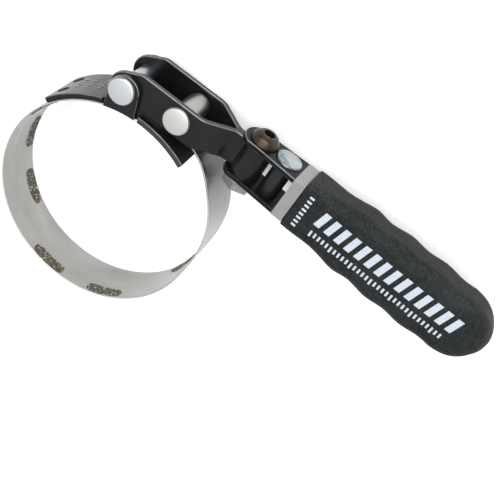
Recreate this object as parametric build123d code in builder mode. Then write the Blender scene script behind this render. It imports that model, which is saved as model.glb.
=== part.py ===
from build123d import *
import math
import os

# Strap-type oil filter wrench with a swivelling handle, lying on its side.
# Millimetres.  The origin is the centre of the band loop (the filter's axis),
# half way across the band.  +Z is the loop's axis, +X runs towards the handle,
# +Y towards the yoke that joins the loop to the handle.
# Angles are in degrees, anticlockwise from +X about +Z.

# ------------------------------------------------------------ shared dimensions
BAND_R = 49.2           # inner radius of the loop
BAND_T = 0.8            # band thickness
BAND_W = 25.4           # band width
BAND_RM = BAND_R + BAND_T / 2

SADDLE_HW = 15.0        # half width of the saddle over its ears
EAR_T = 2.2

SADDLE_PIN = (-13.8, 58.5)   # saddle rivet
BAND_PIN = (12.1, 61.3)      # band rivet
RIVET_R = 3.0                # shanks of all three rivets
PIN_HEAD_R = 6.45
PIN_HEAD_T = 1.5

ARM_OUT = 12.5          # arm outer face, |Z|
ARM_T = 2.5
ARM_IN = ARM_OUT - ARM_T
ARM_Y0, ARM_Y1 = 53.95, 69.25
ARM_DEPTH = ARM_Y1 - ARM_Y0

BOLT_X = 46.5           # swivel axis
BOLT_R = 4.0
BUSHING_R = 5.6
FORK_Y = 61.6           # middle of the fork
FORK_HALF = 10.35       # half the fork's outside height
PLATE_T = 2.2           # fork plate thickness
FORK_IN = FORK_HALF - PLATE_T
HANDLE_TILT = 2.7       # rest angle of the handle about the swivel bolt

# Places along the handle, from the swivel axis
FORK_RIVET_S = 13.1
COLLAR_S0, COLLAR_S1 = 20.4, 25.9
GRIP_S1 = 126.2
STRAP_END = GRIP_S1 - 22     # far end of the steel straps inside the grip

PLATE_HW1 = 9.0         # fork half width at the collar
STRAP_HW = 7.0          # strap half width
STRAP_STEP = 0.9        # the straps step in by this much behind the fork
STRAP_HALF = FORK_HALF - STRAP_STEP

NUT_H = 5.0             # nut and washer together
NUT_WASHER_T = 1.0
WASHER_R = 6.6          # washers on the swivel bolt

BLACK = (0.05, 0.05, 0.055)
STEEL = (0.72, 0.71, 0.69)
ZINC = (0.80, 0.82, 0.84)
BRONZE = (0.55, 0.45, 0.25)
COLLAR_GREY = (0.62, 0.64, 0.62)
GRIP_GREY = (0.14, 0.15, 0.155)
BOLT_BROWN = (0.20, 0.15, 0.12)


# --------------------------------------------------------------- shared helpers
def polar(radius, angle, centre=(0, 0)):
    turn = math.radians(angle)
    return (centre[0] + radius * math.cos(turn), centre[1] + radius * math.sin(turn))


def flipped(points):
    """The points in reverse order, mirrored in the sketch's x axis."""
    return [(x, -y) for x, y in reversed(points)]


def save(solid, name, colour):
    solid.label = name
    solid.color = Color(*colour)
    export_step(solid, f"parts/{name}.step")


def arc_outline(r0, r1, a0, a1):
    """Draw the closed outline of a ring sector."""
    middle = (a0 + a1) / 2
    ThreePointArc(polar(r0, a0), polar(r0, middle), polar(r0, a1))
    Line(polar(r0, a1), polar(r1, a1))
    ThreePointArc(polar(r1, a1), polar(r1, middle), polar(r1, a0))
    Line(polar(r1, a0), polar(r0, a0))


def make_tubes(planes, centre, outer_r, inner_r, length):
    """One tube standing on each plane, all in one part."""
    with BuildPart() as tubes:
        for plane in planes:
            with BuildSketch(plane):
                with Locations(centre):
                    Circle(outer_r)
                    Circle(inner_r, mode=Mode.SUBTRACT)
            extrude(amount=length)
    return tubes.part


def make_rivet(plane, axis, half, head_r, head_t, centre_x=0.0):
    """Double-headed rivet, revolved from a half outline: x radial, y along the axis.

    Each head is a low dome that rolls over into an upright rim.
    """
    top = half + head_t
    flat_x = centre_x + 1.0
    roll_x = centre_x + head_r - 1.15
    rim_x = centre_x + head_r
    shank_x = centre_x + RIVET_R
    with BuildPart() as rivet:
        with BuildSketch(plane):
            with BuildLine():
                for s in (-1, 1):
                    Line((centre_x, s * top), (flat_x, s * top))
                    ThreePointArc((flat_x, s * top),
                                  (centre_x + 0.5 * head_r, s * (top - 0.06)),
                                  (roll_x, s * (top - 0.24)))
                    ThreePointArc((roll_x, s * (top - 0.24)),
                                  (rim_x - 0.3, s * (top - 0.58)),
                                  (rim_x, s * (top - 1.05)))
                    Line((rim_x, s * (top - 1.05)), (rim_x, s * half))
                    Line((rim_x, s * half), (shank_x, s * half))
                Line((shank_x, -half), (shank_x, half))
                Line((centre_x, -top), (centre_x, top))
            make_face()
        revolve(axis=axis)
    return rivet.part


def make_pin_rivet(pin, half):
    """Rivet parallel to Z through a pin position."""
    plane = Plane(origin=(*pin, 0), x_dir=(1, 0, 0), z_dir=(0, -1, 0))
    return make_rivet(plane, Axis((*pin, 0), (0, 0, 1)), half, PIN_HEAD_R, PIN_HEAD_T)


# ------------------------------------------------------------- band, round part
ANCHOR_A0 = 88.0        # the band's first end lies under the saddle from here
LINK_A0 = 144.8         # first bend line, just past the saddle
LINK_STEP = 34.6        # angle between bend lines round the loop
LINK_N = 6
LINK_A1 = LINK_A0 + LINK_STEP * LINK_N
BEND_GAP = 0.05         # half gap at each bend line
GAP_ANGLE = math.degrees(BEND_GAP / BAND_R)


def make_band_sector(a0, a1):
    with BuildPart() as sector:
        with BuildSketch(Plane.XY.offset(-BAND_W / 2)):
            with BuildLine():
                arc_outline(BAND_R, BAND_R + BAND_T, a0, a1)
            make_face()
        extrude(amount=BAND_W)
    return sector.part


# ------------------------------------------------------------------- band, tail
ROLLER_R = 4.1
EYE_R = 4.95            # inner radius of the band's end loop
EYE_RM = EYE_R + BAND_T / 2
EYE_HW = 8.7            # half width of the end loop
# The end loop is pulled against the roller, so its centre sits off the pin.
EYE_OFFSET = (0.74, 0.15)
EYE_C = (BAND_PIN[0] + EYE_OFFSET[0], BAND_PIN[1] + EYE_OFFSET[1])
END_DIR = 166.0         # the band's direction where it meets the end loop

# Middle line of the tail, from the end of the round part to the end loop:
# (x, y), direction of travel.
KNOTS = [
    (polar(BAND_RM, LINK_A1), LINK_A1 + 90 - 360),
    ((50.4, 14.5), 95.0),
    ((46.2, 31.0), 116.5),
    ((34.8, 45.9), 141.0),
    (polar(-EYE_RM, END_DIR - 90, EYE_C), END_DIR),
]
TAIL_N = 3              # spans before the one that carries the end loop
TRIM_HW = 16            # half width of the taper cuts, clear of the band
TRIM_PAST = 3           # the taper cuts run on past the span by this much


def hermite(start, end, count, trim0=0.0, trim1=0.0):
    """Rows of (x, y, outward normal x, y) along the middle line between two knots."""
    (p0, dir0), (p1, dir1) = start, end
    length = math.dist(p0, p1)
    controls = (p0, polar(length, dir0), p1, polar(length, dir1))

    def blend(weights, axis):
        return sum(w * control[axis] for w, control in zip(weights, controls))

    u0, u1 = trim0 / length, 1 - trim1 / length
    rows = []
    for i in range(count):
        u = u0 + (u1 - u0) * i / (count - 1)
        place = (2 * u**3 - 3 * u**2 + 1, u**3 - 2 * u**2 + u, -2 * u**3 + 3 * u**2, u**3 - u**2)
        slope = (6 * u**2 - 6 * u, 3 * u**2 - 4 * u + 1, -6 * u**2 + 6 * u, 3 * u**2 - 2 * u)
        dx, dy = blend(slope, 0), blend(slope, 1)
        size = math.hypot(dx, dy)
        rows.append((blend(place, 0), blend(place, 1), dy / size, -dx / size))
    return rows


def strip_outline(rows):
    """Draw the closed outline of a band-thick strip that follows a middle line."""
    half = BAND_T / 2
    inner = [(x - nx * half, y - ny * half) for x, y, nx, ny in rows]
    outer = [(x + nx * half, y + ny * half) for x, y, nx, ny in rows]
    Spline(*inner)
    Line(inner[-1], outer[-1])
    Spline(*reversed(outer))
    Line(outer[0], inner[0])


def span_plane(start, end):
    """Length of a span and the plane through it: x along the span, y parallel to Z."""
    (ax, ay), (bx, by) = start[0], end[0]
    run = math.hypot(bx - ax, by - ay)
    ux, uy = (bx - ax) / run, (by - ay) / run
    return run, Plane(origin=(ax, ay, 0), x_dir=(ux, uy, 0), z_dir=(uy, -ux, 0))


def make_band_tail(index):
    start, end = KNOTS[index], KNOTS[index + 1]
    with BuildPart() as tail:
        with BuildSketch(Plane.XY.offset(-BAND_W / 2)):
            with BuildLine():
                strip_outline(hermite(start, end, 9, BEND_GAP, BEND_GAP))
            make_face()
        extrude(amount=BAND_W)
        if index == TAIL_N - 1:
            # this span narrows so that the band can enter between the arms
            run, plane = span_plane(start, end)
            x0, x1 = run * 0.45, run + TRIM_PAST
            for side in (1, -1):
                with BuildSketch(plane):
                    with BuildLine():
                        Polyline((x0, side * (BAND_W / 2 + 0.01)), (x1, side * 10.4),
                                 (x1, side * TRIM_HW), (x0, side * TRIM_HW), close=True)
                    make_face()
                extrude(amount=6, both=True, mode=Mode.SUBTRACT)
    return tail.part


def make_band_eye():
    """End loop: the band passes under the roller, wraps round it and laps back on itself."""
    start, end = KNOTS[TAIL_N], KNOTS[TAIL_N + 1]
    with BuildPart() as eye:
        with BuildSketch(Plane.XY.offset(-BAND_W / 2)):
            with BuildLine():
                strip_outline(hermite(start, end, 13, BEND_GAP))
            make_face()
        extrude(amount=BAND_W)
        # taper to the width of the loop
        run, plane = span_plane(start, end)
        x0, x1 = -2, run + TRIM_PAST
        for side in (1, -1):
            with BuildSketch(plane):
                with BuildLine():
                    Polyline((x0, side * 11.25), (run * 0.34, side * EYE_HW), (x1, side * EYE_HW),
                             (x1, side * TRIM_HW), (x0, side * TRIM_HW), close=True)
                make_face()
            extrude(amount=8, both=True, mode=Mode.SUBTRACT)
        with BuildSketch(Plane.XY.offset(-EYE_HW)):
            with Locations(EYE_C):
                Circle(EYE_R + BAND_T)
                Circle(EYE_R, mode=Mode.SUBTRACT)
        extrude(amount=2 * EYE_HW)
        # doubled-back end, on the outside of the incoming band and sunk slightly into it
        shift = BAND_T * 0.97
        lap = [(x + nx * shift, y + ny * shift, nx, ny)
               for x, y, nx, ny in hermite(start, end, 25) if x < EYE_C[0] + 9.2]
        with BuildSketch(Plane.XY.offset(-EYE_HW)):
            with BuildLine():
                strip_outline(lap)
            make_face()
        extrude(amount=2 * EYE_HW)
        # the doubled strip blends up into the loop beside the roller
        lap_x, lap_y = lap[0][:2]
        with BuildSketch(Plane.XY.offset(-EYE_HW)):
            with BuildLine():
                Polyline(polar(EYE_R + 0.02, -22, EYE_C), polar(EYE_R + BAND_T, -14, EYE_C),
                         (lap_x - 1.6, lap_y + 1.15), (lap_x - 2.5, lap_y + 0.2),
                         (EYE_C[0] + 4.2, EYE_C[1] - 4.6), polar(EYE_R + 0.02, -55, EYE_C),
                         close=True)
            make_face()
        extrude(amount=2 * EYE_HW)
        # clear the bore of the loop
        with BuildSketch(Plane.XY.offset(-EYE_HW - 1)):
            with Locations(EYE_C):
                Circle(EYE_R)
        extrude(amount=2 * EYE_HW + 2, mode=Mode.SUBTRACT)
    return eye.part


# ----------------------------------------------------------------------- saddle
SADDLE_R = 50.02        # inner radius of the saddle plate
SADDLE_T = 2.8
SADDLE_A0 = 62.3        # tail end
SADDLE_A1 = 144.5       # far end
PLATE_HW = 13.4         # half width beyond the ears
EAR_R = 7.08            # ear tip radius
EAR_FOOT_R = 50.9       # the ears start here, inside the plate's thickness
EAR_KNEE_R = 52.6
NOTCHES = (-7.6, 9.0)   # relief notches along the plate, from the rivet
HOLE_R = 3.4
HOLE_STEP = 8.3         # angle from the rivet to the pierced hole
DIMPLE_R = 2.9
DIMPLE_DEPTH = 0.6
DIMPLE_START = 2.7      # the dimple cuts start this far outside the plate
DIMPLE_STEP = 6.5       # angle from the far end to the dimples
DIMPLE_Z = 6.5
SADDLE_EDGE_R = 0.6

EAR_ANGLE = math.degrees(math.atan2(SADDLE_PIN[1], SADDLE_PIN[0]))
PIN_DIST = math.hypot(*SADDLE_PIN)
EAR_OUT = (SADDLE_PIN[0] / PIN_DIST, SADDLE_PIN[1] / PIN_DIST)   # outwards through the rivet
EAR_ALONG = (EAR_OUT[1], -EAR_OUT[0])                            # towards the tail end


def ear_point(along, out):
    return (EAR_ALONG[0] * along + EAR_OUT[0] * out, EAR_ALONG[1] * along + EAR_OUT[1] * out)


def is_saddle_side(edge):
    """Long arcs along both curved sides of the plate."""
    return (edge.geom_type == GeomType.CIRCLE and edge.radius > 49 and edge.length > 9
            and min(abs(abs(edge.center().Z) - hw) for hw in (PLATE_HW, SADDLE_HW)) < 0.02)


def is_saddle_end(edge):
    """Edges across both ends of the plate."""
    return (edge.geom_type == GeomType.LINE and edge.length > 25
            and abs(edge.center().Z) < 0.1)


def is_ear_rim(edge):
    """Tip arcs and straight flanks on the outer faces of the ears."""
    return abs(abs(edge.center().Z) - SADDLE_HW) < 0.02 and (
        edge.geom_type == GeomType.CIRCLE and abs(edge.radius - EAR_R) < 0.05
        or edge.geom_type == GeomType.LINE and 5 < edge.length < 9)


def make_saddle():
    # the plate is wider from the tail end to the notches on the far side of the ears
    step_angle = EAR_ANGLE - math.degrees(NOTCHES[0] / SADDLE_R)
    with BuildPart() as saddle:
        for half_width, end_angle in ((PLATE_HW, SADDLE_A1), (SADDLE_HW, step_angle)):
            with BuildSketch(Plane.XY.offset(-half_width)):
                with BuildLine():
                    arc_outline(SADDLE_R, SADDLE_R + SADDLE_T, SADDLE_A0, end_angle)
                make_face()
            extrude(amount=2 * half_width)
        # relief notches beside each ear
        for side in (1, -1):
            for along in NOTCHES:
                notch = Plane(origin=(*ear_point(along, 0), side * SADDLE_HW),
                              x_dir=(*EAR_ALONG, 0), z_dir=(*EAR_OUT, 0))
                with BuildSketch(notch.offset(45)):
                    RectangleRounded(2.0, 6.6, 0.95)
                extrude(amount=12, mode=Mode.SUBTRACT)
        # ears folded up outside the arms
        for z in (SADDLE_HW - EAR_T, -SADDLE_HW):
            with BuildSketch(Plane.XY.offset(z)):
                with BuildLine():
                    Polyline(ear_point(-6.4, EAR_FOOT_R), ear_point(8.0, EAR_FOOT_R),
                             ear_point(8.0, EAR_KNEE_R), ear_point(7.95, PIN_DIST - 0.5),
                             ear_point(-6.15, PIN_DIST - 0.5), ear_point(-6.4, EAR_KNEE_R),
                             close=True)
                make_face()
                with Locations(ear_point(0.9, PIN_DIST + 0.1)):
                    Circle(EAR_R)
            extrude(amount=EAR_T)
        # pierced hole between the rivet and the far end
        hole_angle = EAR_ANGLE + HOLE_STEP
        with BuildSketch(Plane(origin=(*polar(45, hole_angle), 0), x_dir=(0, 0, 1),
                               z_dir=(*polar(1, hole_angle), 0))):
            Circle(HOLE_R)
        extrude(amount=10, mode=Mode.SUBTRACT)
        # shallow round dimples in the outer face near the far end
        dimple_angle = SADDLE_A1 - DIMPLE_STEP
        dimple_point = polar(SADDLE_R + SADDLE_T + DIMPLE_START, dimple_angle)
        for z in (-DIMPLE_Z, DIMPLE_Z):
            with BuildSketch(Plane(origin=(*dimple_point, z), x_dir=(0, 0, 1),
                                   z_dir=(*polar(-1, dimple_angle), 0))):
                Circle(DIMPLE_R)
            extrude(amount=DIMPLE_START + DIMPLE_DEPTH, mode=Mode.SUBTRACT)
        # rivet holes through both ears
        with BuildSketch(Plane.XY.offset(-SADDLE_HW - 1)):
            with Locations(SADDLE_PIN):
                Circle(RIVET_R)
        extrude(amount=2 * SADDLE_HW + 2, mode=Mode.SUBTRACT)
        # rounded rims
        rims = []
        for wanted in (is_saddle_side, is_saddle_end, is_ear_rim):
            rims += [e for e in saddle.edges() if wanted(e)]
        fillet(rims, radius=SADDLE_EDGE_R)
    return saddle.part


def make_rivet_spacer():
    """Spacer tube on the saddle rivet, between the arms."""
    return make_tubes([Plane.XY.offset(-ARM_IN + 0.05)], SADDLE_PIN, 3.9, RIVET_R + 0.05,
                      2 * ARM_IN - 0.1)


def make_ear_washers():
    """Thin washers between the arms and the ears."""
    ear_in = SADDLE_HW - EAR_T
    return make_tubes([Plane.XY.offset(ARM_OUT), Plane.XY.offset(-ear_in + 0.05)],
                      SADDLE_PIN, 5.6, RIVET_R + 0.05, ear_in - ARM_OUT - 0.05)


# ------------------------------------------------------------------------- yoke
ARM_TIP_R = 7.7
TIP_X = SADDLE_PIN[0] - ARM_TIP_R
BEND_X = 22.3           # where the arms start to slant towards the neck
BEND_IN_X = BEND_X - 0.87    # the same bend on the arms' inner faces
NECK_X = 35.0           # where the two arms have come together
NECK_HALF = 2.5
CROTCH_X = NECK_X - 1.25     # end of the space between the arms
SWIVEL_EYE_R = 7.0
ARM_EDGE_R = 0.7        # rounding of the arms' pressed edges


def make_yoke():
    """Two parallel arms that slant together into an eye round the swivel bolt."""
    outer = [(TIP_X, ARM_OUT), (BEND_X, ARM_OUT), (NECK_X, NECK_HALF), (BOLT_X, NECK_HALF)]
    inner = [(TIP_X, -ARM_IN), (BEND_IN_X, -ARM_IN), (CROTCH_X, -0.25)]
    with BuildPart() as yoke:
        # outline in X and Z
        with BuildSketch(Plane.XZ.offset(-ARM_Y0)):
            with BuildLine():
                Polyline(*outer, *flipped(outer), *inner, *flipped(inner), close=True)
            make_face()
            fillet([v for v in vertices()
                    if abs(v.X - BEND_X) < 0.1 and abs(v.Y) > ARM_OUT - 0.1], radius=7.5)
            fillet([v for v in vertices()
                    if abs(v.X - BEND_IN_X) < 0.2 and abs(abs(v.Y) - ARM_IN) < 0.1], radius=5.0)
            fillet([v for v in vertices()
                    if abs(v.X - NECK_X) < 0.1 and abs(abs(v.Y) - NECK_HALF) < 0.1], radius=4.0)
            with Locations((BOLT_X, 0)):
                Circle(SWIVEL_EYE_R)
                Circle(BUSHING_R, mode=Mode.SUBTRACT)
        extrude(amount=-ARM_DEPTH)
        # trim the arm ends round about the saddle rivet, with a short ramp up to the top edge
        with BuildSketch(Plane.XY.offset(-20)):
            with BuildLine():
                Polyline((TIP_X - 6, ARM_Y0 - 6), (-6.5, ARM_Y0 - 6), (-6.5, ARM_Y1 + 6),
                         (TIP_X - 6, ARM_Y1 + 6), close=True)
            make_face()
            with Locations(SADDLE_PIN):
                Circle(ARM_TIP_R, mode=Mode.SUBTRACT)
            with BuildLine():
                Polyline(SADDLE_PIN, polar(ARM_TIP_R, 118, SADDLE_PIN), (-10.4, ARM_Y1 - 0.35),
                         (-9.0, ARM_Y1), (-6.4, ARM_Y1), (-6.4, ARM_Y0), (-9.6, ARM_Y0),
                         (SADDLE_PIN[0] + 3.2, SADDLE_PIN[1] - ARM_TIP_R + 0.7), close=True)
            make_face(mode=Mode.SUBTRACT)
        extrude(amount=40, mode=Mode.SUBTRACT)
        # rivet holes
        with BuildSketch(Plane.XY.offset(-20)):
            with Locations(SADDLE_PIN):
                Circle(RIVET_R + 0.06)
            with Locations(BAND_PIN):
                Circle(RIVET_R)
        extrude(amount=40, mode=Mode.SUBTRACT)
        # rounded rims round the flat sides of both arms, but not along the bend lines
        rims = []
        for flat in yoke.faces().filter_by(GeomType.PLANE):
            level = abs(flat.center().Z)
            if (abs(flat.normal_at().Z) > 0.999
                    and min(abs(level - face) for face in (ARM_OUT, ARM_IN)) < 0.05):
                rims += [e for e in flat.outer_wire().edges()
                         if not (e.geom_type == GeomType.LINE
                                 and abs(e.length - ARM_DEPTH) < 0.1 and e.center().X > 15)]
        fillet(rims, radius=ARM_EDGE_R)
    return yoke.part


def make_swivel_bushing():
    return make_tubes([Plane.XZ.offset(-ARM_Y0 + 0.02)], (BOLT_X, 0), BUSHING_R, BOLT_R + 0.05,
                      -(ARM_DEPTH + 0.04))


def make_band_roller():
    with BuildPart() as roller:
        with BuildSketch(Plane.XY.offset(-ARM_IN + 0.15)):
            with Locations(BAND_PIN):
                Circle(ROLLER_R)
                Circle(RIVET_R + 0.06, mode=Mode.SUBTRACT)
        extrude(amount=2 * ARM_IN - 0.3)
        chamfer(roller.edges().filter_by(GeomType.CIRCLE)
                .filter_by(lambda e: e.radius > ROLLER_R - 0.1), length=0.3)
    return roller.part


# ----------------------------------------------------------------- handle frame
# Local frame of the handle: x along the handle, y towards +Y, z across it.
TILT = math.radians(HANDLE_TILT)
HANDLE_X = (math.cos(TILT), 0, math.sin(TILT))
HANDLE_Z = (-math.sin(TILT), 0, math.cos(TILT))


def handle_side(z=0.0):
    """Sketch plane parallel to the handle's broad side, at height z across it."""
    return Plane(origin=(BOLT_X + HANDLE_Z[0] * z, FORK_Y, HANDLE_Z[2] * z),
                 x_dir=HANDLE_X, z_dir=HANDLE_Z)


def handle_top(y=0.0):
    """Sketch plane square to the swivel axis, y above the fork's middle.

    Sketch y points across the handle.
    """
    return Plane(origin=(BOLT_X, FORK_Y + y, 0), x_dir=HANDLE_X, z_dir=(0, 1, 0))


def handle_point(along):
    return handle_side().from_local_coords((along, 0, 0))


def handle_section(along):
    """Sketch plane square to the handle's length; sketch x points towards +Y."""
    return Plane(origin=handle_point(along), x_dir=(0, 1, 0), z_dir=HANDLE_X)


PLATE_HW0 = 7.6         # fork half width at the swivel bolt
NOSE_R = 9.3            # reach of the fork's nose past the bolt
NOSE_X = -NOSE_R * math.cos(math.radians(55))
FORK_EDGE_R = 0.6


def make_handle_frame():
    """Steel hairpin: two fork plates step in behind the fork and join inside the grip."""
    side_outer = [(-12, -FORK_HALF), (COLLAR_S0, -FORK_HALF), (COLLAR_S0, -STRAP_HALF),
                  (STRAP_END - 6, -STRAP_HALF), (STRAP_END, -STRAP_HALF + 6)]
    side_inner = [(-13, -FORK_IN), (STRAP_END - 7, -FORK_IN),
                  (STRAP_END - 2.3, -STRAP_HALF + 6.6)]
    plan = [(NOSE_X, -PLATE_HW0), (0, -PLATE_HW0), (COLLAR_S0, -PLATE_HW1),
            (COLLAR_S0, -STRAP_HW), (STRAP_END + 2, -STRAP_HW)]
    with BuildPart() as frame:
        # side view
        with BuildSketch(handle_side(-PLATE_HW1 - 1)):
            with BuildLine():
                Polyline(*side_outer, *flipped(side_outer), close=True)
            make_face()
            with BuildLine():
                Polyline(*side_inner, *flipped(side_inner), close=True)
            make_face(mode=Mode.SUBTRACT)
        extrude(amount=2 * PLATE_HW1 + 2)
        # plan view: rounded nose, widening to the collar, narrower inside the grip
        with BuildSketch(handle_top(-20)):
            with BuildLine():
                Polyline((-14, -15), (-14, 15), (GRIP_S1, 15), (GRIP_S1, -15), close=True)
            make_face()
            with BuildLine():
                ThreePointArc((NOSE_X, PLATE_HW0), (-NOSE_R, 0), (NOSE_X, -PLATE_HW0))
                Polyline(*plan, *flipped(plan))
            make_face(mode=Mode.SUBTRACT)
        extrude(amount=40, mode=Mode.SUBTRACT)
        # bolt and rivet holes
        with BuildSketch(handle_top(-20)):
            Circle(BOLT_R)
            with Locations((FORK_RIVET_S, 0)):
                Circle(RIVET_R)
        extrude(amount=40, mode=Mode.SUBTRACT)
        # rounded rims round the outside of both fork plates
        local = handle_top()
        rims = []
        for flat in frame.faces().filter_by(GeomType.PLANE):
            centre = flat.center()
            if (abs(flat.normal_at().Y) > 0.999
                    and abs(abs(centre.Y - FORK_Y) - FORK_HALF) < 0.05
                    and local.to_local_coords(centre).X < 19):
                rims += [e for e in flat.outer_wire().edges()
                         if local.to_local_coords(e.center()).X < COLLAR_S0 - 0.3]
        fillet(rims, radius=FORK_EDGE_R)
    return frame.part


def make_handle_collar():
    """Collar round the straps, between the fork and the grip."""
    with BuildPart() as collar:
        with BuildSketch(handle_section(COLLAR_S0 + 0.03)):
            Rectangle(2 * FORK_HALF, 2 * PLATE_HW1)
            Rectangle(2 * STRAP_HALF + 0.04, 2 * STRAP_HW + 0.04, mode=Mode.SUBTRACT)
        extrude(amount=COLLAR_S1 - COLLAR_S0 - 0.06)
    return collar.part


# ------------------------------------------------------------------------- grip
# Scalloped edge and rounded far end: distance from the swivel axis, half height.
GRIP_EDGE = [
    (25.9, 12.3), (34, 13.0), (41, 13.6), (48, 14.6), (55.5, 15.7), (63.5, 14.8), (74, 16.0),
    (83, 15.2), (92, 16.0), (102.5, 15.0), (109, 15.4), (115.5, 14.3), (120.6, 11.0),
    (124.6, 5.8),
]
GRIP_HALF_T = 9.4       # half thickness
GRIP_EDGE_R = 4.0


def make_grip():
    """Moulded grip, hollow round the straps."""
    outline = GRIP_EDGE + [(GRIP_S1, 0.0)] + flipped(GRIP_EDGE)
    with BuildPart() as grip:
        with BuildSketch(handle_side(-GRIP_HALF_T)):
            with BuildLine():
                Spline(*outline)
                Line(outline[-1], outline[0])
            make_face()
        extrude(amount=2 * GRIP_HALF_T)
        fillet(grip.edges().filter_by(GeomType.BSPLINE), radius=GRIP_EDGE_R)
        with BuildSketch(handle_section(COLLAR_S1 - 1)):
            Rectangle(2 * STRAP_HALF + 0.06, 2 * STRAP_HW + 0.06)
        extrude(amount=STRAP_END - COLLAR_S1 + 1.1, mode=Mode.SUBTRACT)
    return grip.part


# -------------------------------------------------------------- swivel hardware
BOLT_HEAD_R = 6.7
BOLT_HEAD_H = 4.3
BOLT_FLAT_R = 3.5       # flat top of the button head
KEY_AF = 5.0            # hexagon socket, across flats
SOCKET_DEPTH = 2.8
NUT_AF = 12.8           # nut, across flats


def make_swivel_bolt():
    """Button-head bolt; sketch x is the radius, y runs up the swivel axis."""
    head_top = FORK_HALF + BOLT_HEAD_H
    nut_end = -FORK_HALF - NUT_H
    shank_end = nut_end - 0.9
    with BuildPart() as bolt:
        with BuildSketch(handle_side()):
            with BuildLine():
                Polyline((0, shank_end), (BOLT_R - 0.6, shank_end), (BOLT_R, nut_end - 0.3),
                         (BOLT_R, FORK_HALF), (BOLT_HEAD_R, FORK_HALF),
                         (BOLT_HEAD_R, FORK_HALF + 0.5))
                ThreePointArc((BOLT_HEAD_R, FORK_HALF + 0.5), (5.35, FORK_HALF + 2.95),
                              (BOLT_FLAT_R, head_top))
                Polyline((BOLT_FLAT_R, head_top), (0, head_top), (0, shank_end))
            make_face()
        revolve(axis=Axis((BOLT_X, 0, 0), (0, 1, 0)))
        with BuildSketch(handle_top(head_top + 0.1)):
            RegularPolygon(KEY_AF / 2, 6, major_radius=False, rotation=12)
        extrude(amount=-(SOCKET_DEPTH + 0.1), mode=Mode.SUBTRACT)
    return bolt.part


def make_swivel_nut():
    with BuildPart() as nut:
        with BuildSketch(handle_top(-FORK_HALF - NUT_H)):
            RegularPolygon(NUT_AF / 2, 6, major_radius=False, rotation=30)
            Circle(BOLT_R, mode=Mode.SUBTRACT)
        extrude(amount=NUT_H - NUT_WASHER_T)
        chamfer(nut.edges().group_by(Axis.Y)[0].filter_by(GeomType.LINE), length=0.5)
    return nut.part


def make_nut_washer():
    return make_tubes([handle_top(-FORK_HALF - NUT_WASHER_T + 0.005)], (0, 0), WASHER_R,
                      BOLT_R + 0.02, NUT_WASHER_T - 0.01)


def make_friction_washers():
    """Washers above and below the yoke's eye."""
    planes = [handle_top(ARM_DEPTH / 2 + 0.03), handle_top(-FORK_IN + 0.005)]
    return make_tubes(planes, (0, 0), WASHER_R, BOLT_R + 0.02, FORK_IN - ARM_DEPTH / 2 - 0.035)


def make_fork_rivet():
    return make_rivet(handle_side(), Axis(handle_point(FORK_RIVET_S), (0, 1, 0)), FORK_HALF,
                      head_r=6.3, head_t=1.3, centre_x=FORK_RIVET_S)


def make_fork_spacer():
    return make_tubes([handle_top(-FORK_IN + 0.01)], (FORK_RIVET_S, 0), 4.6, RIVET_R + 0.02,
                      2 * FORK_IN - 0.02)


# ----------------------------------------------------------------------- output
os.makedirs("parts", exist_ok=True)

save(make_band_sector(ANCHOR_A0, LINK_A0 - GAP_ANGLE), "band_anchor", STEEL)
for i in range(LINK_N):
    link_start = LINK_A0 + LINK_STEP * i
    link = make_band_sector(link_start + GAP_ANGLE, link_start + LINK_STEP - GAP_ANGLE)
    save(link, f"band_link_{i + 1}", STEEL)
for i in range(TAIL_N):
    save(make_band_tail(i), f"band_tail_{i + 1}", STEEL)
save(make_band_eye(), "band_eye", STEEL)

save(make_saddle(), "saddle", BLACK)
save(make_pin_rivet(SADDLE_PIN, SADDLE_HW), "saddle_rivet", ZINC)
save(make_rivet_spacer(), "rivet_spacer", ZINC)
save(make_ear_washers(), "ear_washers", ZINC)

save(make_yoke(), "yoke", BLACK)
save(make_swivel_bushing(), "swivel_bushing", BRONZE)
save(make_pin_rivet(BAND_PIN, ARM_OUT), "band_rivet", ZINC)
save(make_band_roller(), "band_roller", ZINC)

save(make_handle_frame(), "handle_frame", BLACK)
save(make_handle_collar(), "handle_collar", COLLAR_GREY)
save(make_grip(), "grip", GRIP_GREY)

save(make_swivel_bolt(), "swivel_bolt", BOLT_BROWN)
save(make_swivel_nut(), "swivel_nut", ZINC)
save(make_nut_washer(), "nut_washer", ZINC)
save(make_friction_washers(), "friction_washers", BRONZE)
save(make_fork_rivet(), "fork_rivet", ZINC)
save(make_fork_spacer(), "fork_spacer", BLACK)
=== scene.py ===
"""Band wrench with a swivelling handle: looks, stage and camera.

The steel strip forms a loop round the Z axis, centred on the origin. Its two ends meet on the
+Y side at the yoke and saddle. The handle runs from the swivel bolt towards +X, tilted a
little towards +Z. Meshes are written in millimetres; shader and stage lengths are in metres.
"""

import math
from functools import cached_property

import bmesh
import bpy
from mathutils import Matrix, Vector, noise


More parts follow.
